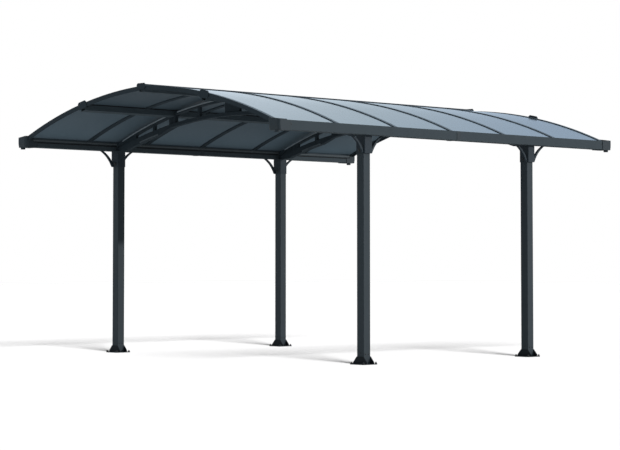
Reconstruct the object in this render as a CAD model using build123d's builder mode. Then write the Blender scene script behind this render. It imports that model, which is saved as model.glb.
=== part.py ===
from build123d import *
import os
from math import asin, atan, cos, radians, sin, sqrt

# Open canopy on four posts with a glazed arched roof. Millimetres, +Z up, the origin on the
# ground under the middle of the roof. X runs along the eaves, from the front end to the rear end,
# and Y across, towards the left eave.

# Roof and frame as a whole
roof_length = 4330.0
roof_width = 3608.0
roof_rise = 468.4
ridge_slope_share = 0.04
eave_height = 1959.0
post_spacing_x = 2160.0
post_inset = 5.0

# Room left between curved seats, and the overrun of every cut
seat_gap = 0.3
cut_overrun = 5.0

# Posts: square tube with its edges broken
post_side = 82.0
post_wall = 3.0
post_corner = 3.0

# Post shoes: a base plate with two flared cheeks that clasp the post
plate_side = 172.0
plate_thickness = 6.0
plate_corner = 8.0
anchor_spacing = 148.0
anchor_hole_radius = 6.0
cheek_thickness = 4.0
cheek_foot_width = 164.0
cheek_foot_height = 14.0
cheek_height = 62.0

# Post brackets: a sleeve round the post's head, with two curved arms along the gutter
bracket_height = 155.0
bracket_side_wall = 6.0
bracket_inner_wall = 4.0
bracket_outer_wall = 21.0
bracket_corner = 5.0
arm_reach = 158.0
arm_foot = 13.0
arm_foot_rise = 6.0
arm_root_height = 16.0
arm_seat = 25.0
arm_depth = 18.0
arm_width = 20.0
arm_setback = 14.0
arm_sag = 18.0

# Gutters: an open trough, with a groove along the inner face
gutter_width = 121.0
gutter_wall = 3.0
gutter_inner_wall = 9.0
gutter_outer_height = 80.0
gutter_inner_height = 80.9
gutter_lip = 12.0
groove_bottom = 54.0
groove_top = 61.0
groove_depth = 4.0
joiner_length = 46.0
joiner_wall = 2.5
joiner_inner_height = 44.0

# Gutter ends: a sleeve over the gutter, a hopper that closes it, and an outlet spout below
sleeve_length = 45.0
end_length = 60.0
end_overhang = 31.0
end_wall = 5.0
end_corner = 24.0
end_shoulder = 32.0
end_taper = 6.0
end_fall = 16.0
spout_radius = 21.5
spout_bore_radius = 18.5
spout_drop = 22.0
spout_inset = 46.0
spout_setback = 28.0

# Glazing bars: a cap above the panel edges, a web between them and a base below
panel_count = 6
bar_width = 40.0
bar_cap_depth = 5.5
bar_web = 14.0
bar_base_width = 54.0
bar_base_depth = 8.4
bar_end_inset = 82.0
end_bar_depth = 38.0

# Roof panels
panel_thickness = 6.0
panel_edge_gap = 2.0
ridge_joint = 6.0

# Purlins, their end caps and the ridge cap
side_purlin_share = 0.494
purlin_width = 60.0
purlin_wall = 3.0
side_purlin_depth = 59.0
ridge_purlin_depth = 41.0
ridge_cap_width = 70.0
ridge_cap_rise = 16.5
ridge_cap_wall = 3.0
ridge_cap_corner = 3.5
purlin_end_width = 116.0
purlin_end_thickness = 8.0
purlin_end_rise = 18.0
ridge_end_rise = 24.0
purlin_end_drop = 52.0
ridge_end_drop = 28.0
purlin_end_corner = 14.0

# Trusses: two arched chords, tied by struts, with a deeper haunch under the lower chord at each post
chord_width = 50.0
upper_chord_drop = 35.0
upper_chord_depth = 27.0
truss_opening = 114.0
lower_chord_depth = 32.0
haunch_depth = 30.0
haunch_start_share = 0.52
haunch_full_share = 0.615
strut_width = 30.0
strut_thickness = 30.0
purlin_strut_width = 98.0
ridge_strut_width = 200.0
strut_shares = (0.28, 0.671)
root_share = 0.829

# Depths below the outer face of the roof
panel_top = bar_cap_depth + seat_gap
panel_bottom = panel_top + panel_thickness
bar_base_top = panel_bottom + seat_gap
bar_depth = bar_base_top + bar_base_depth
purlin_top = panel_bottom + seat_gap

# The roof's arch: two arcs that rise from the gutters' inner walls and meet at a low peak over the ridge
gutter_outer = roof_width / 2
gutter_inner = gutter_outer - gutter_width
roof_crown = eave_height + roof_rise
ridge_angle = atan(ridge_slope_share)
seat_drop = roof_rise - gutter_inner_height - seat_gap
seat_lean = seat_drop * cos(ridge_angle) - gutter_inner * sin(ridge_angle) - bar_depth
seat_reach = gutter_inner * gutter_inner + seat_drop * seat_drop - bar_depth * bar_depth
roof_radius = seat_reach / (2 * seat_lean)
arch_offset = roof_radius * sin(ridge_angle)
arch_center_z = roof_crown - roof_radius * cos(ridge_angle)
arch_axis = Axis((0, -arch_offset, arch_center_z), (1, 0, 0))
roof_half_span = gutter_outer - bar_end_inset
arch_angle = asin((roof_half_span + arch_offset) / roof_radius)

# Places along and across the roof
bar_pitch = (roof_length - bar_width) / panel_count
bar_places = [bar_pitch * (n - panel_count / 2) for n in range(panel_count + 1)]
truss_places = (-post_spacing_x / 2, post_spacing_x / 2)
truss_half_span = gutter_inner - seat_gap
post_line = gutter_inner - post_inset
side_purlin_offset = side_purlin_share * roof_half_span
purlin_offsets = (0, side_purlin_offset, -side_purlin_offset)
purlin_depths = (ridge_purlin_depth, side_purlin_depth, side_purlin_depth)
corners = [
    (f"{end}_{side}", x_sign, y_sign)
    for end, x_sign in (("front", -1), ("rear", 1))
    for side, y_sign in (("left", 1), ("right", -1))
]


def arch_height(y, depth):
    """Height of the roof at y, on the arc that lies depth inside its outer face."""
    radius = roof_radius - depth
    run = abs(y) + arch_offset
    return arch_center_z + sqrt(radius * radius - run * run)


def roof_plane(x, y):
    """Plane across the roof at x, on its outer face at y: its second axis points straight out, up at the ridge."""
    side = (y > 0) - (y < 0)
    lean = side * (abs(y) + arch_offset) / roof_radius
    return Plane(
        origin=(x, y, arch_height(y, 0)),
        x_dir=(0, sqrt(1 - lean * lean), -lean),
        z_dir=(1, 0, 0),
    )


def bar_plane(x):
    """Plane along X at the left eave's end of the arch, for a section that is then swept up to the ridge."""
    return Plane(
        origin=(x, roof_half_span, arch_height(roof_half_span, 0)),
        x_dir=(1, 0, 0),
        z_dir=(0, -cos(arch_angle), sin(arch_angle)),
    )


def lower_point(y, depth):
    """Point on the lower chord's arc at y, on the circle that lies depth above its lower face."""
    radius = lower_radius + depth
    return (y, lower_center_z + sqrt(radius * radius - y * y))


def save(name, shape):
    """Label a finished piece and write it as its own file."""
    shape.label = name
    export_step(shape, f"parts/{name}.step")


os.makedirs("parts", exist_ok=True)

# The inner wall of the gutter stops just under the glazing bars that it carries, and slopes with them
inner_wall_top = eave_height + gutter_inner_height
inner_wall_low = arch_height(gutter_inner + gutter_inner_wall, bar_depth) - seat_gap

# Lower chord: an arc that springs from the posts' inner faces, a truss opening below the upper chord at mid-span
lower_chord_rise = roof_rise - upper_chord_drop - upper_chord_depth - truss_opening - lower_chord_depth
lower_half_span = post_line - post_side / 2
lower_radius = (lower_half_span * lower_half_span + lower_chord_rise * lower_chord_rise) / (2 * lower_chord_rise)
lower_center_z = eave_height + lower_chord_rise - lower_radius
lower_top_radius = lower_radius + lower_chord_depth
upper_top_radius = roof_radius - upper_chord_drop
upper_bottom_radius = upper_top_radius - upper_chord_depth

# Posts
for name, x_sign, y_sign in corners:
    post_x = x_sign * post_spacing_x / 2
    post_y = y_sign * post_line
    with BuildPart() as post:
        with BuildSketch(Plane(origin=(post_x, post_y, plate_thickness))) as section:
            Rectangle(post_side, post_side)
            chamfer(section.vertices(), post_corner)
            bore = post_side - 2 * post_wall
            Rectangle(bore, bore, mode=Mode.SUBTRACT)
        extrude(amount=eave_height - plate_thickness)
    save(f"{name}_post", post.part)

    # Shoe under the post
    with BuildPart() as shoe:
        with BuildSketch(Plane(origin=(post_x, post_y, 0))) as plate:
            Rectangle(plate_side, plate_side)
            chamfer(plate.vertices(), plate_corner)
            with GridLocations(anchor_spacing, anchor_spacing, 2, 2):
                Circle(anchor_hole_radius, mode=Mode.SUBTRACT)
        extrude(amount=plate_thickness)
        for side in (-1, 1):
            with BuildSketch(Plane.YZ.offset(post_x + side * (post_side / 2 + seat_gap))):
                with BuildLine():
                    Polyline(
                        (post_y - cheek_foot_width / 2, plate_thickness),
                        (post_y + cheek_foot_width / 2, plate_thickness),
                        (post_y + cheek_foot_width / 2, plate_thickness + cheek_foot_height),
                        (post_y + post_side / 2, plate_thickness + cheek_height),
                        (post_y - post_side / 2, plate_thickness + cheek_height),
                        (post_y - cheek_foot_width / 2, plate_thickness + cheek_foot_height),
                        close=True,
                    )
                make_face()
            extrude(amount=side * cheek_thickness)
    save(f"{name}_post_shoe", shoe.part)

    # Bracket round the post's head
    sleeve_half_x = post_side / 2 + bracket_side_wall
    sleeve_inner = post_side / 2 + bracket_inner_wall
    sleeve_outer = post_side / 2 + bracket_outer_wall
    sleeve_y = post_y + y_sign * (sleeve_outer - sleeve_inner) / 2
    sleeve_low = eave_height - bracket_height
    arm_y = y_sign * (post_line + sleeve_outer - arm_setback - arm_width / 2)
    with BuildPart() as bracket:
        with BuildSketch(Plane(origin=(post_x, sleeve_y, sleeve_low))) as section:
            Rectangle(2 * sleeve_half_x, sleeve_inner + sleeve_outer)
            chamfer(section.vertices(), bracket_corner)
        extrude(amount=bracket_height)
        for side in (-1, 1):
            root_x = post_x + side * (sleeve_half_x - bracket_side_wall / 2)
            foot_x = post_x + side * (sleeve_half_x + arm_foot)
            end_x = post_x + side * (sleeve_half_x + arm_reach)
            foot_z = sleeve_low + arm_foot_rise
            root_z = sleeve_low + arm_root_height
            run = arm_reach - arm_foot
            climb = eave_height - foot_z
            chord = sqrt(run * run + climb * climb)
            mid_x = (foot_x + end_x) / 2 - side * arm_sag * climb / chord
            mid_z = (foot_z + eave_height) / 2 + arm_sag * run / chord
            upper_x = mid_x - side * arm_depth * climb / chord
            upper_z = mid_z + arm_depth * run / chord
            with BuildSketch(Plane.XZ.offset(-arm_y - arm_width / 2)):
                with BuildLine():
                    Line((root_x, sleeve_low), (foot_x, foot_z))
                    ThreePointArc((foot_x, foot_z), (mid_x, mid_z), (end_x, eave_height))
                    Line((end_x, eave_height), (end_x - side * arm_seat, eave_height))
                    ThreePointArc((end_x - side * arm_seat, eave_height), (upper_x, upper_z), (root_x, root_z))
                    Line((root_x, root_z), (root_x, sleeve_low))
                make_face()
            extrude(amount=arm_width)
        with BuildSketch(Plane(origin=(post_x, post_y, sleeve_low - cut_overrun))):
            Rectangle(post_side + 2 * seat_gap, post_side + 2 * seat_gap)
        extrude(amount=bracket_height + 2 * cut_overrun, mode=Mode.SUBTRACT)
    save(f"{name}_post_bracket", bracket.part)

    # Gutter length from the joiner at mid-length to the gutter end
    outer = y_sign * gutter_outer
    inner = y_sign * gutter_inner
    outer_face = y_sign * (gutter_outer - gutter_wall)
    inner_face = y_sign * (gutter_inner + gutter_inner_wall)
    lip_edge = y_sign * (gutter_outer - gutter_lip)
    groove_face = y_sign * (gutter_inner + groove_depth)
    floor = eave_height + gutter_wall
    outer_top = eave_height + gutter_outer_height
    with BuildPart() as gutter:
        with BuildSketch(Plane.YZ):
            with BuildLine():
                Polyline(
                    (inner, eave_height),
                    (outer, eave_height),
                    (outer, outer_top),
                    (lip_edge, outer_top),
                    (lip_edge, outer_top - gutter_wall),
                    (outer_face, outer_top - gutter_wall),
                    (outer_face, floor),
                    (inner_face, floor),
                    (inner_face, inner_wall_low),
                    (inner, inner_wall_top),
                    (inner, eave_height + groove_top),
                    (groove_face, eave_height + groove_top),
                    (groove_face, eave_height + groove_bottom),
                    (inner, eave_height + groove_bottom),
                    close=True,
                )
            make_face()
        extrude(amount=x_sign * (roof_length / 2 - end_length))
    save(f"{name}_gutter", gutter.part)

# Gutter end, drawn for the rear left corner and mirrored to the others. The sleeve slides over the gutter, the
# hopper has rounded far corners and a tapered foot, and the end bar lands on its inner wall
end_start = roof_length / 2 - end_length
end_face = roof_length / 2 + end_overhang
end_inner = gutter_inner - end_wall
end_outer = gutter_outer + end_wall
end_low = eave_height - end_wall
end_top = arch_height(gutter_inner, 0)
shoulder_z = eave_height + end_shoulder
slope_run = gutter_width + end_wall + cut_overrun
with BuildPart() as gutter_end:
    for inset, mode in ((0, Mode.ADD), (end_wall, Mode.SUBTRACT)):
        near = end_start - (cut_overrun if inset else 0)
        ease = chamfer if inset else fillet
        for height, taper in ((end_low + inset, end_taper), (shoulder_z, 0)):
            far = end_face - inset - taper
            with BuildSketch(Plane.XY.offset(height)) as plan:
                with Locations(((near + far) / 2, (end_inner + end_outer) / 2)):
                    Rectangle(far - near, end_outer - end_inner - 2 * inset)
                ease(plan.vertices().sort_by(Axis.X)[-2:], end_corner - inset)
        loft(ruled=True, mode=mode)
        far = end_face - inset
        with BuildSketch(Plane.XY.offset(shoulder_z)) as plan:
            with Locations(((near + far) / 2, (end_inner + end_outer) / 2)):
                Rectangle(far - near, end_outer - end_inner - 2 * inset)
            ease(plan.vertices().sort_by(Axis.X)[-2:], end_corner - inset)
        extrude(amount=end_top + end_fall - shoulder_z, mode=mode)
        with BuildSketch(Plane(origin=(end_face - spout_setback, gutter_outer - spout_inset, eave_height - spout_drop))):
            Circle(spout_bore_radius if inset else spout_radius)
        extrude(amount=spout_drop + inset, mode=mode)
    with BuildSketch(Plane.YZ.offset(end_start - cut_overrun)):
        with BuildLine():
            Polyline(
                (end_inner - cut_overrun, end_top),
                (gutter_inner, end_top),
                (gutter_inner + slope_run, end_top - end_fall * slope_run / gutter_width),
                (gutter_inner + slope_run, end_top + 2 * end_fall),
                (end_inner - cut_overrun, end_top + 2 * end_fall),
                close=True,
            )
        make_face()
    extrude(amount=end_face - end_start + 2 * cut_overrun, mode=Mode.SUBTRACT)
    with BuildSketch(Plane.YZ.offset(end_start - cut_overrun)):
        landing = roof_half_span + seat_gap - gutter_inner + end_wall + cut_overrun
        with Locations((roof_half_span + seat_gap - landing / 2, roof_crown)):
            Rectangle(landing, roof_crown)
        with Locations((-arch_offset, arch_center_z)):
            Circle(roof_radius - end_bar_depth - seat_gap, mode=Mode.SUBTRACT)
    extrude(amount=end_length + seat_gap + cut_overrun, mode=Mode.SUBTRACT)
    with BuildSketch(Plane.YZ.offset(end_start - sleeve_length)):
        with BuildLine():
            Polyline(
                (end_inner, end_low),
                (end_outer, end_low),
                (end_outer, eave_height + gutter_outer_height),
                (gutter_outer + seat_gap, eave_height + gutter_outer_height),
                (gutter_outer + seat_gap, eave_height - seat_gap),
                (gutter_inner - seat_gap, eave_height - seat_gap),
                (gutter_inner - seat_gap, eave_height + joiner_inner_height),
                (end_inner, eave_height + joiner_inner_height),
                close=True,
            )
        make_face()
    extrude(amount=sleeve_length)
for name, x_sign, y_sign in corners:
    piece = gutter_end.part
    if x_sign < 0:
        piece = mirror(piece, about=Plane.YZ)
    if y_sign < 0:
        piece = mirror(piece, about=Plane.XZ)
    save(f"{name}_gutter_end", piece)

# Gutter joiners: a strap round each gutter at mid-length
with BuildPart() as joiners:
    for y_sign in (-1, 1):
        outer = y_sign * gutter_outer
        inner = y_sign * gutter_inner
        strap_outer = y_sign * (gutter_outer + joiner_wall)
        strap_inner = y_sign * (gutter_inner - joiner_wall)
        outer_top = eave_height + gutter_outer_height
        leg_top = eave_height + joiner_inner_height
        with BuildSketch(Plane.YZ.offset(-joiner_length / 2)):
            with BuildLine():
                Polyline(
                    (strap_inner, eave_height - joiner_wall),
                    (strap_outer, eave_height - joiner_wall),
                    (strap_outer, outer_top),
                    (outer, outer_top),
                    (outer, eave_height),
                    (inner, eave_height),
                    (inner, leg_top),
                    (strap_inner, leg_top),
                    close=True,
                )
            make_face()
        extrude(amount=joiner_length)
save("gutter_joiners", joiners.part)

# Trusses across the posts
for end, truss_x in zip(("front", "rear"), truss_places):
    with BuildPart() as upper_chord:
        with BuildSketch(Plane.YZ.offset(truss_x - chord_width / 2)):
            with Locations((-arch_offset, arch_center_z)):
                Circle(upper_top_radius)
                Circle(upper_bottom_radius, mode=Mode.SUBTRACT)
            with Locations((0, lower_center_z)):
                Circle(lower_top_radius + seat_gap, mode=Mode.SUBTRACT)
            with Locations((truss_half_span / 2, roof_crown)):
                Rectangle(truss_half_span, roof_crown, mode=Mode.INTERSECT)
        extrude(amount=chord_width)
        mirror(about=Plane.XZ)
    save(f"{end}_truss_upper_chord", upper_chord.part)

    # Lower chord, drawn for one half: the haunch deepens it from the side purlin to its seat on the post
    haunch_start = haunch_start_share * truss_half_span
    haunch_full = haunch_full_share * truss_half_span
    haunch_radius = lower_radius - haunch_depth
    spring_height = eave_height - lower_center_z
    haunch_end = sqrt(haunch_radius * haunch_radius - spring_height * spring_height)
    chord_top = lower_point(0, lower_chord_depth)
    chord_low = lower_point(0, 0)
    chord_end = lower_point(truss_half_span, lower_chord_depth)
    haunch_top = lower_point(haunch_start, 0)
    haunch_low = lower_point(haunch_full, -haunch_depth)
    with BuildPart() as lower_chord:
        with BuildSketch(Plane.YZ.offset(truss_x - chord_width / 2)):
            with BuildLine():
                ThreePointArc(chord_top, lower_point(truss_half_span / 2, lower_chord_depth), chord_end)
                Polyline(chord_end, (truss_half_span, eave_height), (haunch_end, eave_height))
                ThreePointArc(
                    (haunch_end, eave_height),
                    lower_point((haunch_end + haunch_full) / 2, -haunch_depth),
                    haunch_low,
                )
                Line(haunch_low, haunch_top)
                ThreePointArc(haunch_top, lower_point(haunch_start / 2, 0), chord_low)
                Line(chord_low, chord_top)
            make_face()
        extrude(amount=chord_width)
        mirror(about=Plane.XZ)
    save(f"{end}_truss_lower_chord", lower_chord.part)

    # Struts between the chords, drawn for one half: plain ones, wider ones under the purlins, a web at the root
    root_start = root_share * truss_half_span
    strut_strips = [
        (ridge_strut_width / 4, ridge_strut_width / 2),
        (side_purlin_offset, purlin_strut_width),
        ((root_start + truss_half_span) / 2, truss_half_span - root_start),
    ]
    strut_strips += [(share * truss_half_span, strut_width) for share in strut_shares]
    with BuildPart() as struts:
        with BuildSketch(Plane.YZ.offset(truss_x - strut_thickness / 2)):
            with Locations((-arch_offset, arch_center_z)):
                Circle(upper_bottom_radius - seat_gap)
            with Locations((0, lower_center_z)):
                Circle(lower_top_radius + seat_gap, mode=Mode.SUBTRACT)
            with BuildSketch(mode=Mode.INTERSECT):
                for strut_y, width in strut_strips:
                    with Locations((strut_y, roof_crown)):
                        Rectangle(width, roof_crown)
        extrude(amount=strut_thickness)
        mirror(about=Plane.XZ)
    save(f"{end}_truss_struts", struts.part)

# Purlins along the roof, notched over the trusses and under the bars
for name, y, depth in zip(("ridge", "left", "right"), purlin_offsets, purlin_depths):
    sink = 0 if y else roof_crown - arch_height(purlin_width / 2, 0)
    with BuildPart() as purlin:
        with BuildSketch(roof_plane(-roof_length / 2, y)):
            with Locations((0, -purlin_top - sink - depth / 2)):
                Rectangle(purlin_width, depth)
                Rectangle(purlin_width - 2 * purlin_wall, depth - 2 * purlin_wall, mode=Mode.SUBTRACT)
        extrude(amount=roof_length)
        for place in bar_places:
            is_end = abs(place) > bar_pitch * (panel_count / 2 - 1 / 2)
            notch_bottom = (end_bar_depth if is_end else bar_depth) + seat_gap + sink
            notch_depth = notch_bottom - purlin_top
            notch_width = (bar_width if is_end else bar_base_width) + 2 * seat_gap
            with BuildSketch(roof_plane(place - notch_width / 2, y)):
                with Locations((0, notch_depth / 2 - notch_bottom)):
                    Rectangle(purlin_width + 2 * cut_overrun, notch_depth)
            extrude(amount=notch_width, mode=Mode.SUBTRACT)
        for truss_x in truss_places:
            notch_top = upper_chord_drop - seat_gap
            notch_depth = purlin_top + sink + depth - notch_top
            with BuildSketch(roof_plane(truss_x - chord_width / 2 - seat_gap, y)):
                with Locations((0, -notch_top - notch_depth / 2)):
                    Rectangle(purlin_width + 2 * cut_overrun, notch_depth)
            extrude(amount=chord_width + 2 * seat_gap, mode=Mode.SUBTRACT)
    save(f"{name}_purlin", purlin.part)

# Ridge cap over the joint of the panel halves, its skirts notched over the bars
with BuildPart() as ridge_cap:
    skirt_depth = bar_cap_depth + roof_crown - arch_height(ridge_cap_width / 2, 0)
    cap_height = ridge_cap_rise + skirt_depth
    with BuildSketch(roof_plane(-roof_length / 2, 0)) as section:
        with Locations((0, ridge_cap_rise - cap_height / 2)):
            Rectangle(ridge_cap_width, cap_height)
        chamfer(section.vertices().sort_by(Axis.Y)[-2:], ridge_cap_corner)
        with Locations((0, -ridge_cap_wall + ridge_cap_rise - cap_height / 2)):
            Rectangle(ridge_cap_width - 2 * ridge_cap_wall, cap_height, mode=Mode.SUBTRACT)
    extrude(amount=roof_length)
    for place in bar_places:
        with BuildSketch(roof_plane(place - bar_width / 2 - seat_gap, 0)):
            with Locations((0, seat_gap - skirt_depth / 2)):
                Rectangle(ridge_cap_width + 2 * cut_overrun, skirt_depth + 2 * seat_gap)
        extrude(amount=bar_width + 2 * seat_gap, mode=Mode.SUBTRACT)
save("ridge_cap", ridge_cap.part)

# End caps on the purlins
with BuildPart() as purlin_ends:
    for x_sign in (-1, 1):
        for y in purlin_offsets:
            rise = purlin_end_rise if y else ridge_end_rise
            drop = purlin_end_drop if y else ridge_end_drop
            with BuildSketch(roof_plane(x_sign * roof_length / 2, y)) as cap:
                with Locations((0, (rise - drop) / 2)):
                    Rectangle(purlin_end_width, rise + drop)
                chamfer(cap.vertices(), purlin_end_corner)
            extrude(amount=x_sign * purlin_end_thickness)
save("purlin_end_caps", purlin_ends.part)

# Glazing bars and end bars, swept from the eave to just past the ridge, cut there and mirrored
sweep_angle = arch_angle - ridge_angle + cut_overrun / roof_radius
bar_names = ["front_end_bar"] + [f"glazing_bar_{n}" for n in range(1, panel_count)] + ["rear_end_bar"]
for name, place in zip(bar_names, bar_places):
    is_end = name.endswith("end_bar")
    base_width = bar_width if is_end else bar_base_width
    with BuildPart() as bar:
        with BuildSketch(bar_plane(place)):
            with Locations((0, -bar_cap_depth / 2)):
                Rectangle(bar_width, bar_cap_depth)
            with Locations((0, -bar_depth / 2)):
                Rectangle(bar_web, bar_depth)
            with Locations((0, -bar_base_top - bar_base_depth / 2)):
                Rectangle(base_width, bar_base_depth)
            if is_end:
                outward = 1 if place > 0 else -1
                with Locations((outward * (bar_width - bar_web) / 2, -end_bar_depth / 2)):
                    Rectangle(bar_web, end_bar_depth)
        revolve(axis=arch_axis, revolution_arc=sweep_angle / radians(1))
        split(bisect_by=Plane.XZ, keep=Keep.BOTTOM)
        mirror(about=Plane.XZ)
    save(name, bar.part)

# Roof panels, each in two halves that meet under the ridge cap
half_angle = arch_angle - asin((ridge_joint / 2 + arch_offset) / (roof_radius - panel_bottom))
for number, place in enumerate(bar_places[:-1], start=1):
    panel_width = bar_pitch - bar_web - 2 * panel_edge_gap
    with BuildPart() as panel:
        with BuildSketch(bar_plane(place + bar_pitch / 2)):
            with Locations((0, -panel_top - panel_thickness / 2)):
                Rectangle(panel_width, panel_thickness)
        revolve(axis=arch_axis, revolution_arc=half_angle / radians(1))
        mirror(about=Plane.XZ)
    save(f"roof_panel_{number}", panel.part)
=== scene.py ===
from math import asin, atan, cos, radians, sin, sqrt
import bmesh
import bpy
from mathutils import Matrix, Vector


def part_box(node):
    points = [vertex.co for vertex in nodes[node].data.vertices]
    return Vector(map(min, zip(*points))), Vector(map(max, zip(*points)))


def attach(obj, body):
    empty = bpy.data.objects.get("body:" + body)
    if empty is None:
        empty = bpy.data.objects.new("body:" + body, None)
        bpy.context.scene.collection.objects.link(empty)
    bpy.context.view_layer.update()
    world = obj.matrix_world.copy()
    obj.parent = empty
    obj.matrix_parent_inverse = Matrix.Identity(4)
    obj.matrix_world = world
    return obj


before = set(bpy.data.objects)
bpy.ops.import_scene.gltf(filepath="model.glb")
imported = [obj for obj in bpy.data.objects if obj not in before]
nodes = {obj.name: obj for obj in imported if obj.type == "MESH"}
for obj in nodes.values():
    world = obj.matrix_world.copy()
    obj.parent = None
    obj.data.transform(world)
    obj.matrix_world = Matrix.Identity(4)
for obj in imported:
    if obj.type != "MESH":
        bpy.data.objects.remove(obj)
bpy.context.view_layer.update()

# POSTS
# Four square aluminium tubes, extruded, cut square and powder coated in anthracite grey.
# Each stands in a shoe at the ground, and pan-head screws near its foot hold it there.

MM = 0.001
# Each corner by name, with its side of the middle along the eaves and across them
corners = {"front_left": (-1, 1), "front_right": (-1, -1), "rear_left": (1, 1), "rear_right": (1, -1)}


def linear(code):
    """An sRGB hex colour as the linear colour that a shader takes."""
    channels = [int(code[i:i + 2], 16) / 255 for i in (1, 3, 5)]
    return tuple(c / 12.92 if c <= 0.04045 else ((c + 0.055) / 1.055) ** 2.4 for c in channels) + (1.0,)


def add(tree, kind, links=(), **settings):
    """A node of that kind, with its settings, and its sockets linked or set from links."""
    node = tree.nodes.new(kind)
    for key, value in settings.items():
        setattr(node, key, value)
    for socket, value in links:
        if isinstance(value, bpy.types.NodeSocket):
            tree.links.new(value, node.inputs[socket])
        else:
            node.inputs[socket].default_value = value
    return node


def coated(name, dark, light, rough_low, rough_high, gloss, top_gloss=None):
    """A coat of paint or a moulded skin: a faint mottle, a fine peel, dull undersides, and a gloss that may
    differ on the faces that look up."""
    coat = bpy.data.materials.new(name)
    coat.use_nodes = True
    tree = coat.node_tree
    shader = tree.nodes["Principled BSDF"]
    coordinates = add(tree, "ShaderNodeTexCoord")
    place = coordinates.outputs["Object"]
    # The film's thickness drifts over about a hand's width
    mottle_mm = 140.0
    mottle = add(tree, "ShaderNodeTexNoise", [("Vector", place), ("Scale", 1000 / mottle_mm), ("Detail", 3.0)])
    tone = add(tree, "ShaderNodeValToRGB", [("Fac", mottle.outputs["Fac"])])
    tone.color_ramp.elements[0].position = 0.3
    tone.color_ramp.elements[0].color = linear(dark)
    tone.color_ramp.elements[1].position = 0.7
    tone.color_ramp.elements[1].color = linear(light)
    tree.links.new(tone.outputs["Color"], shader.inputs["Base Color"])
    rough = add(tree, "ShaderNodeMapRange", [
        ("Value", mottle.outputs["Fac"]), ("To Min", rough_low), ("To Max", rough_high)])
    # Dust dries on the undersides, which rain never rinses, and leaves them dull
    upward = add(tree, "ShaderNodeSeparateXYZ", [("Vector", coordinates.outputs["Normal"])])
    dull = add(tree, "ShaderNodeMapRange", [
        ("Value", upward.outputs["Z"]), ("From Min", -0.7), ("From Max", -0.3),
        ("To Min", 1.0), ("To Max", rough.outputs["Result"])])
    tree.links.new(dull.outputs["Result"], shader.inputs["Roughness"])
    # The real peel is under a millimetre across, so it is drawn coarser to show
    peel_mm = 2.5
    peel_depth = 0.6 * MM
    peel = add(tree, "ShaderNodeTexNoise", [("Vector", place), ("Scale", 1000 / peel_mm), ("Detail", 2.0)])
    bump = add(tree, "ShaderNodeBump", [
        ("Height", peel.outputs["Fac"]), ("Strength", 0.08), ("Distance", peel_depth)])
    tree.links.new(bump.outputs["Normal"], shader.inputs["Normal"])
    shader.inputs["Specular IOR Level"].default_value = gloss
    if top_gloss is not None:
        shine = add(tree, "ShaderNodeMapRange", [
            ("Value", upward.outputs["Z"]), ("From Min", 0.3), ("From Max", 0.7),
            ("To Min", gloss), ("To Max", top_gloss)])
        tree.links.new(shine.outputs["Result"], shader.inputs["Specular IOR Level"])
    return coat


def finish_nodes(names, material):
    """The material on every slot of those nodes."""
    for name in names:
        mesh = nodes[name].data
        mesh.materials.clear()
        mesh.materials.append(material)


def turned(bm, place, axis, profile, steps=16):
    """A turned piece, such as a screw head: pairs of radius and height in mm, spun about axis at place."""
    before = set(bm.verts)
    outline = [bm.verts.new((radius * MM, 0, height * MM)) for radius, height in profile]
    edges = [bm.edges.new(pair) for pair in zip(outline, outline[1:])]
    bmesh.ops.spin(bm, geom=outline + edges, cent=(0, 0, 0), axis=(0, 0, 1), angle=radians(360), steps=steps,
                   use_merge=True)
    made = [vert for vert in bm.verts if vert not in before]
    turn = Vector(axis).to_track_quat("Z", "Y").to_matrix().to_4x4()
    bmesh.ops.transform(bm, matrix=Matrix.Translation(place) @ turn, verts=made)


def piece(name, bm, finish):
    """The finished bmesh as a piece that rides with the canopy."""
    bmesh.ops.remove_doubles(bm, verts=bm.verts, dist=0.01 * MM)
    bmesh.ops.recalc_face_normals(bm, faces=bm.faces)
    mesh = bpy.data.meshes.new(name)
    bm.to_mesh(mesh)
    bm.free()
    mesh.materials.append(finish)
    made = bpy.data.objects.new(name, mesh)
    bpy.context.scene.collection.objects.link(made)
    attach(made, "root")


# Satin polyester powder coat: a soft grey sheen on the lit faces
post_coat = coated("powder_coated_aluminium", "#303a40", "#353f45", 0.5, 0.6, 0.14)
finish_nodes([f"{corner}_post" for corner in corners], post_coat)

# Zinc-plated steel, blackened: small dark spots with a low shine
screw_steel = coated("blackened_steel", "#15191b", "#1c2023", 0.45, 0.6, 0.3)
pan_head = [(0, 3.2), (3.5, 2.9), (5.6, 1.8), (6.2, 0), (6.2, -1), (0, -1)]
pair_off_centre = 17 * MM
pair_height, single_height = 88 * MM, 99 * MM
screws = bmesh.new()
for corner in corners:
    low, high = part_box(f"{corner}_post")
    middle = (Vector(low) + Vector(high)) / 2
    for side, face_y in ((-1, low[1]), (1, high[1])):
        for off_centre in (-pair_off_centre, pair_off_centre):
            turned(screws, (middle.x + off_centre, face_y, pair_height), (0, side, 0), pan_head)
    for side, face_x in ((-1, low[0]), (1, high[0])):
        turned(screws, (face_x, middle.y, single_height), (side, 0, 0), pan_head)
piece("post_screws", screws, screw_steel)

# POST SHOES AND BRACKETS
# Pressed steel base plates with two flared cheeks, bolted to the ground at their corners, and steel
# brackets clamped round the posts' heads. Both are powder coated darker than the tubes.

# Powder coat on steel: the posts' grey, a shade darker and duller
bracket_coat = coated("powder_coated_steel", "#28323a", "#2d373e", 0.55, 0.65, 0.15)
# Thick powder coat on pressed steel: near black and matt, so that the feet read as dark blocks
shoe_coat = coated("powder_coated_pressed_steel", "#1a2023", "#1f2529", 0.6, 0.7, 0.1)
finish_nodes([f"{corner}_post_shoe" for corner in corners], shoe_coat)
finish_nodes([f"{corner}_post_bracket" for corner in corners], bracket_coat)


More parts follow.
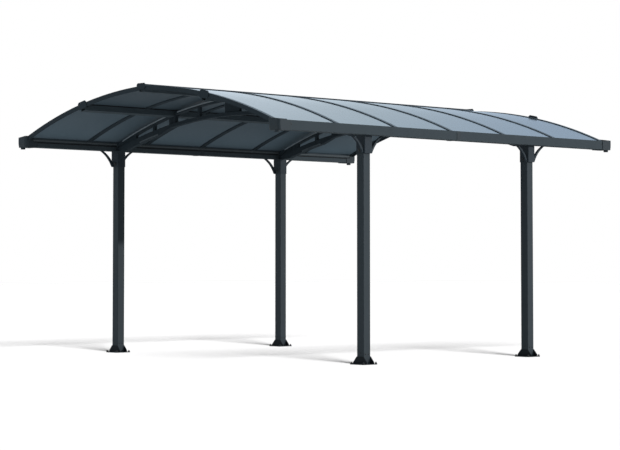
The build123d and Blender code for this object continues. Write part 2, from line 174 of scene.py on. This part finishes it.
def hexagon(bm, place, axis, radius, height):
    """A hexagon nut or bolt head that stands on place and rises along axis."""
    turn = Vector(axis).to_track_quat("Z", "Y").to_matrix().to_4x4()
    middle = Vector(place) + Vector(axis) * height / 2
    bmesh.ops.create_cone(bm, cap_ends=True, segments=6, radius1=radius, radius2=radius, depth=height,
                          matrix=Matrix.Translation(middle) @ turn)


anchor_bolts = bmesh.new()
washer = [(0, 2), (11, 2), (12, 1.2), (12, -0.5), (0, -0.5)]
washer_thickness = washer[0][1] * MM
stud = [(0, 17), (4, 17), (5, 16), (5, 0), (0, 0)]
anchor_off_centre = 74 * MM
nut_radius, nut_height = 9.8 * MM, 8 * MM
plate_top = 6 * MM
skyward = Vector((0, 0, 1))
for corner in corners:
    low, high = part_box(f"{corner}_post_shoe")
    middle = (Vector(low) + Vector(high)) / 2
    for side_x in (-1, 1):
        for side_y in (-1, 1):
            place = Vector((middle.x + side_x * anchor_off_centre, middle.y + side_y * anchor_off_centre, plate_top))
            turned(anchor_bolts, place, skyward, washer)
            turned(anchor_bolts, place, skyward, stud)
            hexagon(anchor_bolts, place + skyward * washer_thickness, skyward, nut_radius, nut_height)
piece("anchor_bolts", anchor_bolts, screw_steel)

clamp_bolts = bmesh.new()
boss = [(0, 5), (13, 5), (17, 2), (17, -0.5), (0, -0.5)]
boss_proud = boss[0][1] * MM
boss_height = 1833 * MM
bolt_radius, bolt_height = 9 * MM, 6 * MM
sleeve_wall = 6 * MM
for corner in corners:
    low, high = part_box(f"{corner}_post")
    middle = (Vector(low) + Vector(high)) / 2
    sleeve_half = middle.x - low[0] + sleeve_wall
    for side in (-1, 1):
        outward = Vector((side, 0, 0))
        face = Vector((middle.x, middle.y, boss_height)) + outward * sleeve_half
        turned(clamp_bolts, face, outward, boss)
        hexagon(clamp_bolts, face + outward * boss_proud, outward, bolt_radius, bolt_height)
piece("bracket_clamp_bolts", clamp_bolts, screw_steel)

# GUTTERS
# Extruded aluminium troughs along both eaves, in two lengths each, with a moulded strap at the joint
# and moulded ends that carry the outlet spouts. Along each inner face, a pale strip paints a highlight and a black
# one paints shade.

# Powder coat on a broad flat face: an even mid grey, with a little sky along the rims
gutter_coat = coated("powder_coated_gutter_aluminium", "#3e484e", "#434d53", 0.5, 0.6, 0.06, 0.15)
finish_nodes([f"{corner}_gutter" for corner in corners], gutter_coat)
# Moulded ASA: a grey close to the coat's, with the soft sheen of plastic
cap_moulding = coated("moulded_asa_plastic", "#2b353a", "#30393f", 0.5, 0.6, 0.15)
finish_nodes([f"{corner}_gutter_end" for corner in corners] + ["gutter_joiners"], cap_moulding)


def block(bm, low, high):
    """A plain block from its lowest corner to its highest."""
    middle = (Vector(low) + Vector(high)) / 2
    size = Vector(high) - Vector(low)
    bmesh.ops.create_cube(bm, size=1, matrix=Matrix.Translation(middle) @ Matrix.Diagonal(size).to_4x4())


# Pale grey strip, a painted highlight, and black strip, painted shade: dull, even lines
highlight_grey = coated("painted_highlight_grey_strip", "#5a6266", "#62696d", 0.7, 0.8, 0.1)
shade_black = coated("painted_shadow_black_strip", "#0c0e0f", "#121415", 0.7, 0.85, 0.1)
highlight_strips = bmesh.new()
beads = bmesh.new()
# Painted highlight: the pale grey strip stands for the light line along the lip of each inner face's groove
highlight_bottom, highlight_top = 57 * MM, 68 * MM
# Painted shade: the black strip below it stands for a dark line of shadow along the inner face
bead_bottom, bead_top = 40 * MM, 48 * MM
proud = 2 * MM
for eave in ("left", "right"):
    low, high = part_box(f"front_{eave}_gutter")[0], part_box(f"rear_{eave}_gutter")[1]
    inner_y = low[1] if low[1] > 0 else high[1]
    for strips, bottom, top in ((highlight_strips, highlight_bottom, highlight_top), (beads, bead_bottom, bead_top)):
        block(strips, (low[0], inner_y - proud, low[2] + bottom), (high[0], inner_y + proud, low[2] + top))
piece("gutter_highlight_strips", highlight_strips, highlight_grey)
piece("gutter_beads", beads, shade_black)

end_screws = bmesh.new()
end_screw_x, end_screw_z = 2048 * MM, 2005 * MM
for corner, (end, side) in corners.items():
    low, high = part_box(f"{corner}_gutter")
    outer_y = high[1] if side > 0 else low[1]
    turned(end_screws, (end * end_screw_x, outer_y, end_screw_z), (0, side, 0), pan_head)
piece("gutter_end_screws", end_screws, screw_steel)

# A moulded plug closes the corner between each gutter's inner wall, its end and the end bar
end_plugs = bmesh.new()
plug_back, plug_front = 0.5 * MM, 8.5 * MM
plug_foot, plug_head = 61 * MM, 77.5 * MM
plug_under_bar = 25 * MM
plug_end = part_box("rear_end_bar")[0][0] + plug_under_bar
for corner, (end, side) in corners.items():
    low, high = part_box(f"{corner}_gutter")
    inner_y = low[1] if side > 0 else high[1]
    xs = sorted((end * plug_end, high[0] if end > 0 else low[0]))
    ys = sorted((inner_y + side * plug_back, inner_y + side * plug_front))
    block(end_plugs, (xs[0], ys[0], low[2] + plug_foot), (xs[1], ys[1], low[2] + plug_head))
piece("gutter_end_plugs", end_plugs, cap_moulding)

# TRUSSES
# Two arched aluminium chords over each pair of posts, tied by struts and by a web at each root, with a
# haunch under the lower chord. A pale strip runs along the upper chord, and one painted darker for shade along the
# haunch.

# Matt powder coat: dark under the roof, with a trace of sky on the faces that look up
frame_coat = coated("matt_powder_coated_aluminium", "#303b42", "#364047", 0.6, 0.7, 0.05, 0.6)
truss_nodes = [f"{end}_truss_{part}" for end in ("front", "rear")
               for part in ("upper_chord", "lower_chord", "struts")]
finish_nodes(truss_nodes, frame_coat)


def arch_of(name, ridge_slope):
    """Radius, side shift and centre height of the arc along the top of a node that leaves the ridge at that
    slope."""
    points = [vertex.co for vertex in nodes[name].data.vertices]
    ridge = max(point.z for point in points if abs(point.y) < MM)
    reach = max(point.y for point in points)
    fall = max(point.z for point in points if point.y > reach - MM) - ridge
    lean = atan(ridge_slope)
    radius = -(reach * reach + fall * fall) / (2 * (reach * sin(lean) + fall * cos(lean)))
    return radius, radius * sin(lean), ridge - radius * cos(lean)


def height_on(arch, y, depth):
    """The height at that y, on either slope, of the arc that lies a depth below this one."""
    radius, shift, centre_z = arch
    return centre_z + sqrt((radius - depth) ** 2 - (abs(y) + shift) ** 2)


def arched_strip(bm, arch, y_range, depths, x_range, steps=24):
    """A strip that follows the arc from one y to another on both slopes, between two depths below it."""
    radius, shift, centre_z = arch
    start, stop = (asin((y + shift) / radius) for y in y_range)
    section = []
    for x_end, depth_end in ((0, 0), (1, 0), (1, 1), (0, 1)):
        reach = radius - depths[depth_end]
        section.append(bm.verts.new((x_range[x_end], reach * sin(start) - shift, reach * cos(start) + centre_z)))
    face = bm.faces.new(section)
    before = set(bm.verts) - set(section)
    bmesh.ops.spin(bm, geom=[face], cent=(0, -shift, centre_z), axis=(1, 0, 0), angle=start - stop, steps=steps)
    strip = [vert for vert in bm.verts if vert not in before]
    strip_faces = {face for vert in strip for face in vert.link_faces}
    strip_edges = {edge for vert in strip for edge in vert.link_edges}
    bmesh.ops.mirror(bm, geom=strip + list(strip_edges) + list(strip_faces), matrix=Matrix.Identity(4),
                     merge_dist=-1, axis="Y")


ridge_slope = 0.04
# A pale grey, matt and without a metal's mirror: a light line along the chord's faces
bead_grey = coated("pale_strip_grey", "#8d9aa2", "#96a3ab", 0.5, 0.6, 0.2)
# The pale strip's grey, painted darker and greyer for the roof's shade along the haunch: a fainter, duller line
shaded_haunch_grey = coated("painted_shade_haunch_grey", "#566168", "#5e6970", 0.6, 0.7, 0.1)
truss_beads = bmesh.new()
haunch_beads = bmesh.new()
strut_ribs = bmesh.new()
rivets = bmesh.new()
bead_depths, bead_proud = (3 * MM, 15 * MM), 1.5 * MM
ridge_gap, purlin_gap, eave_gap = 60 * MM, 70 * MM, 90 * MM
haunch_bead_depths = (46 * MM, 60 * MM)
haunch_span = (1060 * MM, 1340 * MM)
purlin_low, purlin_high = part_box("left_purlin")
purlin_y = (purlin_low[1] + purlin_high[1]) / 2
upper_depth, lower_depth = 27 * MM, 32 * MM
# The ribs on each purlin plate, placed in pitches from its middle
rib_places = (-1.5, -0.5, 0.5, 1.5)
rib_pitch, rib_width = 22 * MM, 9 * MM
rib_half_depth = 19 * MM
rib_foot_gap, rib_head_gap = 3 * MM, 5 * MM
# The struts stand at these shares of the chord's reach, with a rivet at each end
strut_shares = (0.28, 0.671)
rivet_head = [(0, 2.4), (3, 2.0), (5, 0.8), (5.5, 0), (5.5, -1), (0, -1)]
rivet_steps = 10
upper_rivet_drop = 5 * MM
for end in ("front", "rear"):
    low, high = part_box(f"{end}_truss_upper_chord")
    upper_arch = arch_of(f"{end}_truss_upper_chord", ridge_slope)
    lower_arch = arch_of(f"{end}_truss_lower_chord", 0)
    truss_x = (low[0] + high[0]) / 2
    for face_x in (low[0], high[0]):
        strip_x = (face_x - bead_proud, face_x + bead_proud)
        arched_strip(truss_beads, upper_arch, (ridge_gap, purlin_y - purlin_gap), bead_depths, strip_x)
        arched_strip(truss_beads, upper_arch, (purlin_y + purlin_gap, high[1] - eave_gap), bead_depths, strip_x)
        arched_strip(haunch_beads, lower_arch, haunch_span, haunch_bead_depths, strip_x)
    for side in (-1, 1):
        for rib_place in rib_places:
            y = side * (purlin_y + rib_place * rib_pitch)
            foot = height_on(lower_arch, y, 0) + rib_foot_gap
            head = height_on(upper_arch, y, upper_depth) - rib_head_gap
            block(strut_ribs, (truss_x - rib_half_depth, y - rib_width / 2, foot),
                  (truss_x + rib_half_depth, y + rib_width / 2, head))
    for share in strut_shares:
        for side in (-1, 1):
            y = side * share * high[1]
            lower_z = height_on(lower_arch, y, lower_depth / 2)
            upper_z = height_on(upper_arch, y, upper_depth / 2) - upper_rivet_drop
            for side_x, face_x in ((-1, low[0]), (1, high[0])):
                turned(rivets, (face_x, y, lower_z), (side_x, 0, 0), rivet_head, rivet_steps)
                turned(rivets, (face_x, y, upper_z), (side_x, 0, 0), rivet_head, rivet_steps)
piece("truss_beads", truss_beads, bead_grey)
piece("haunch_beads", haunch_beads, shaded_haunch_grey)
piece("strut_ribs", strut_ribs, frame_coat)
piece("truss_rivets", rivets, screw_steel)

# PURLINS AND BARS
# Rectangular aluminium tubes along the roof with moulded caps on their ends, a ridge cap, and arched
# bars that hold the panels' edges. Each purlin cap is held by one screw.

# Powder coat, matt, painted a touch paler than the trusses' for the light that reaches the purlins from below
purlin_coat = coated("powder_coated_purlin_aluminium", "#434f56", "#48545b", 0.6, 0.7, 0.1)
finish_nodes(["ridge_purlin", "left_purlin", "right_purlin"], purlin_coat)
bar_nodes = ["front_end_bar", "rear_end_bar"] + [f"glazing_bar_{n}" for n in range(1, 6)]
finish_nodes(bar_nodes + ["ridge_cap", "purlin_end_caps"], frame_coat)

# Painted shade: black strips along the purlins' upper edges stand for the shadow gap between purlin and panels
purlin_shadow_strips = bmesh.new()
purlin_points = [vertex.co for vertex in nodes["left_purlin"].data.vertices]
inner_top = max(purlin_points, key=lambda point: point.z)
inner_foot = min(purlin_points, key=lambda point: point.y)
up = Vector((0, inner_top.y - inner_foot.y, inner_top.z - inner_foot.z)).normalized()
across = Vector((0, up.z, -up.y))
purlin_turn = Matrix((Vector((1, 0, 0)), across, up)).transposed().to_4x4()
purlin_width, shadow_strip_thickness, shadow_strip_height = 60 * MM, 4 * MM, 8 * MM
shadow_strip_length = purlin_high[0] - purlin_low[0]
for offset in (0, purlin_width):
    middle = Vector((0, inner_top.y, inner_top.z)) + across * offset - up * shadow_strip_height / 2
    size = Matrix.Diagonal((shadow_strip_length, shadow_strip_thickness, shadow_strip_height)).to_4x4()
    bmesh.ops.create_cube(purlin_shadow_strips, size=1, matrix=Matrix.Translation(middle) @ purlin_turn @ size)
bmesh.ops.mirror(purlin_shadow_strips, geom=purlin_shadow_strips.verts[:] + purlin_shadow_strips.edges[:] + purlin_shadow_strips.faces[:],
                 matrix=Matrix.Identity(4), merge_dist=-1, axis="Y")
piece("purlin_shadow_strips", purlin_shadow_strips, shade_black)

cap_screws = bmesh.new()
cap_low, cap_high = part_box("purlin_end_caps")
roof_arch = arch_of("front_end_bar", ridge_slope)
cap_middle_depth = 17 * MM
head_height = pan_head[0][1] * MM
for y in (-purlin_y, 0, purlin_y):
    z = height_on(roof_arch, y, cap_middle_depth)
    for side_x, face_x in ((-1, cap_low[0]), (1, cap_high[0])):
        turned(cap_screws, (face_x - side_x * head_height, y, z), (side_x, 0, 0), pan_head)
piece("purlin_cap_screws", cap_screws, frame_coat)

# ROOF PANELS
# Smoked polycarbonate sheets, extruded flat, cut to length, slid in between the bars and curved cold
# over the purlins. The ridge cap covers the joint between the two slopes.

# Extruded polycarbonate: a glossy weather face that mirrors the sky, and a matt grey underside
sheet = bpy.data.materials.new("smoked_polycarbonate")
sheet.use_nodes = True
sheet_tree = sheet.node_tree
sheet_shader = sheet_tree.nodes["Principled BSDF"]
sheet_coordinates = add(sheet_tree, "ShaderNodeTexCoord")
# The tint drifts over a little more than a panel's width
haze_mm = 900.0
haze = add(sheet_tree, "ShaderNodeTexNoise", [
    ("Vector", sheet_coordinates.outputs["Object"]), ("Scale", 1000 / haze_mm), ("Detail", 2.0)])
sheet_tone = add(sheet_tree, "ShaderNodeValToRGB", [("Fac", haze.outputs["Fac"])])
sheet_tone.color_ramp.elements[0].position = 0.3
sheet_tone.color_ramp.elements[0].color = linear("#4b5a64")
sheet_tone.color_ramp.elements[1].position = 0.7
sheet_tone.color_ramp.elements[1].color = linear("#51606a")
# Painted light: the sheets' colour is scaled paler towards the eaves and darker towards the ridge, for the brighter
# light under the eaves
sheet_low, sheet_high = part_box("roof_panel_1")
eave_tone, ridge_tone = 1.85, 0.75
height = add(sheet_tree, "ShaderNodeSeparateXYZ", [("Vector", sheet_coordinates.outputs["Object"])])
eave_light_scale = add(sheet_tree, "ShaderNodeMapRange", [
    ("Value", height.outputs["Z"]), ("From Min", sheet_low[2]), ("From Max", sheet_high[2]),
    ("To Min", eave_tone), ("To Max", ridge_tone)])
eave_lit_tone = add(sheet_tree, "ShaderNodeVectorMath", [
    (0, sheet_tone.outputs["Color"]), ("Scale", eave_light_scale.outputs["Result"])], operation="SCALE")
sheet_tree.links.new(eave_lit_tone.outputs["Vector"], sheet_shader.inputs["Base Color"])
facing = add(sheet_tree, "ShaderNodeSeparateXYZ", [("Vector", sheet_coordinates.outputs["Normal"])])
for socket, underside, weather_face in (("Roughness", 0.55, 0.15), ("Specular IOR Level", 0.012, 0.3)):
    outside = add(sheet_tree, "ShaderNodeMapRange", [
        ("Value", facing.outputs["Z"]), ("From Min", -0.1), ("From Max", 0.1),
        ("To Min", underside), ("To Max", weather_face)])
    sheet_tree.links.new(outside.outputs["Result"], sheet_shader.inputs[socket])
sheet_shader.inputs["IOR"].default_value = 1.58
finish_nodes([f"roof_panel_{n}" for n in range(1, 7)], sheet)

# FLOOR, LIGHT AND CAMERA
# A plain white studio floor, a white surround whose mirror image cools towards the right, a low lamp from
# the right that lights the canopy, and a high one that only draws the shadows on the floor.

floor_half = 60
floor_mesh = bpy.data.meshes.new("floor")
floor = bpy.data.objects.new("floor", floor_mesh)
bpy.context.scene.collection.objects.link(floor)
floor_bm = bmesh.new()
bmesh.ops.create_grid(floor_bm, x_segments=1, y_segments=1, size=floor_half)
floor_bm.to_mesh(floor_mesh)
floor_bm.free()
# Studio paint: white in the open, with soft grey shadows. It sends back a tenth of its strong lamp's light,
# and a faint glow of its own makes up the rest of the white
white = linear("#ffffff")
floor_paint = bpy.data.materials.new("white_studio_floor")
floor_paint.use_nodes = True
floor_tree = floor_paint.node_tree
floor_tree.nodes.remove(floor_tree.nodes["Principled BSDF"])
floor_path = add(floor_tree, "ShaderNodeLightPath")
in_mirror = add(floor_tree, "ShaderNodeMath", [
    (0, floor_path.outputs["Is Glossy Ray"]), (1, floor_path.outputs["Is Transmission Ray"])], operation="MAXIMUM")
seen = add(floor_tree, "ShaderNodeMath", [
    (0, floor_path.outputs["Is Camera Ray"]), (1, in_mirror.outputs[0])], operation="MAXIMUM")
glow = add(floor_tree, "ShaderNodeEmission", [("Color", white), ("Strength", 0.085)])
paint = add(floor_tree, "ShaderNodeBsdfDiffuse", [("Color", linear("#595959"))])
seen_floor = add(floor_tree, "ShaderNodeAddShader", [(0, glow.outputs[0]), (1, paint.outputs[0])])
# The light that the floor throws back is weaker under the roof, which shades it
floor_place = add(floor_tree, "ShaderNodeTexCoord")
from_middle = add(floor_tree, "ShaderNodeVectorMath", [(0, floor_place.outputs["Object"])], operation="LENGTH")
thrown_back = add(floor_tree, "ShaderNodeMapRange", [
    ("Value", from_middle.outputs["Value"]), ("From Min", 0.5), ("From Max", 3.5),
    ("To Min", 0.04), ("To Max", 0.52)])
lighting_floor = add(floor_tree, "ShaderNodeEmission", [
    ("Color", white), ("Strength", thrown_back.outputs["Result"])])
whole_floor = add(floor_tree, "ShaderNodeMixShader", [
    ("Fac", seen.outputs[0]), (1, lighting_floor.outputs[0]), (2, seen_floor.outputs[0])])
floor_tree.links.new(whole_floor.outputs[0], floor_tree.nodes["Material Output"].inputs["Surface"])
floor_mesh.materials.append(floor_paint)

# The surround is white to the camera, an even pale light on the canopy, and a cooling sky in its gloss
world = bpy.context.scene.world or bpy.data.worlds.new("studio")
bpy.context.scene.world = world
world.use_nodes = True
world_tree = world.node_tree
world_tree.nodes.clear()
world_path = add(world_tree, "ShaderNodeLightPath")
in_gloss = add(world_tree, "ShaderNodeMath", [
    (0, world_path.outputs["Is Glossy Ray"]), (1, world_path.outputs["Is Transmission Ray"])], operation="MAXIMUM")
world_place = add(world_tree, "ShaderNodeTexCoord")
direction = add(world_tree, "ShaderNodeSeparateXYZ", [("Vector", world_place.outputs["Generated"])])
cooling = add(world_tree, "ShaderNodeMapRange", [
    ("Value", direction.outputs["X"]), ("From Min", 0.64), ("From Max", 0.80)])
sky = add(world_tree, "ShaderNodeValToRGB", [("Fac", cooling.outputs["Result"])])
sky.color_ramp.elements[0].position = 0.22
sky.color_ramp.elements[0].color = linear("#dcebf7")
sky.color_ramp.elements[1].position = 0.81
sky.color_ramp.elements[1].color = linear("#adc1d8")
sky.color_ramp.elements.new(0.42).color = linear("#c7d7e3")
zenith = add(world_tree, "ShaderNodeMapRange", [
    ("Value", direction.outputs["Z"]), ("From Min", 0.3), ("From Max", 0.5), ("To Min", 1.2), ("To Max", 1.8)])
ambient = add(world_tree, "ShaderNodeBackground", [("Color", white), ("Strength", 0.31)])
reflected = add(world_tree, "ShaderNodeBackground", [
    ("Color", sky.outputs["Color"]), ("Strength", zenith.outputs["Result"])])
backdrop = add(world_tree, "ShaderNodeBackground", [("Color", white), ("Strength", 1.0)])
unseen = add(world_tree, "ShaderNodeMixShader", [
    ("Fac", in_gloss.outputs[0]), (1, ambient.outputs[0]), (2, reflected.outputs[0])])
surround = add(world_tree, "ShaderNodeMixShader", [
    ("Fac", world_path.outputs["Is Camera Ray"]), (1, unseen.outputs[0]), (2, backdrop.outputs[0])])
add(world_tree, "ShaderNodeOutputWorld", [("Surface", surround.outputs[0])])

# The low lamp lights the canopy. The high one reaches only the floor, where posts and gutters shade it
floor_only = bpy.data.collections.new("floor_only")
floor_only.objects.link(floor)
shading_frame = bpy.data.collections.new("shading_frame")
for corner in corners:
    for part in ("post", "post_shoe", "post_bracket", "gutter", "gutter_end"):
        shading_frame.objects.link(nodes[f"{corner}_{part}"])
key_bearing = radians(40)
toward_key = (sin(key_bearing), -cos(key_bearing), 0.201)
toward_floor_lamp = (-1.1, -2.4, 2.0)
for name, energy, width, toward_lamp in (
        ("key_lamp", 1.55, 1, toward_key), ("floor_lamp", 46.5, 16, toward_floor_lamp)):
    lamp = bpy.data.lights.new(name, "SUN")
    lamp.energy = energy
    lamp.angle = radians(width)
    lamp_object = bpy.data.objects.new(name, lamp)
    bpy.context.scene.collection.objects.link(lamp_object)
    lamp_object.rotation_euler = Vector(toward_lamp).to_track_quat("Z", "Y").to_euler()
    if name == "floor_lamp":
        lamp_object.light_linking.receiver_collection = floor_only
        lamp_object.light_linking.blocker_collection = shading_frame

# The lens is long, looks up by under three degrees, and stands at about hip height
image_width, image_height = 620, 450
focal_px = 2035.87
centre_px = (308.0, 172.49)
camera_rise, camera_bearing = radians(2.601), radians(-43.788)
camera_data = bpy.data.cameras.new("camera")
camera_data.sensor_width = 36.0
camera_data.lens = focal_px / image_width * camera_data.sensor_width
camera_data.shift_x = (image_width / 2 - centre_px[0]) / image_width
camera_data.shift_y = (centre_px[1] - image_height / 2) / image_width
camera = bpy.data.objects.new("camera", camera_data)
bpy.context.scene.collection.objects.link(camera)
camera.location = (-13.4935, -13.9410, 0.8486)
camera.rotation_euler = (radians(90) + camera_rise, 0, camera_bearing)
bpy.context.scene.camera = camera
bpy.context.scene.view_settings.view_transform = "Standard"
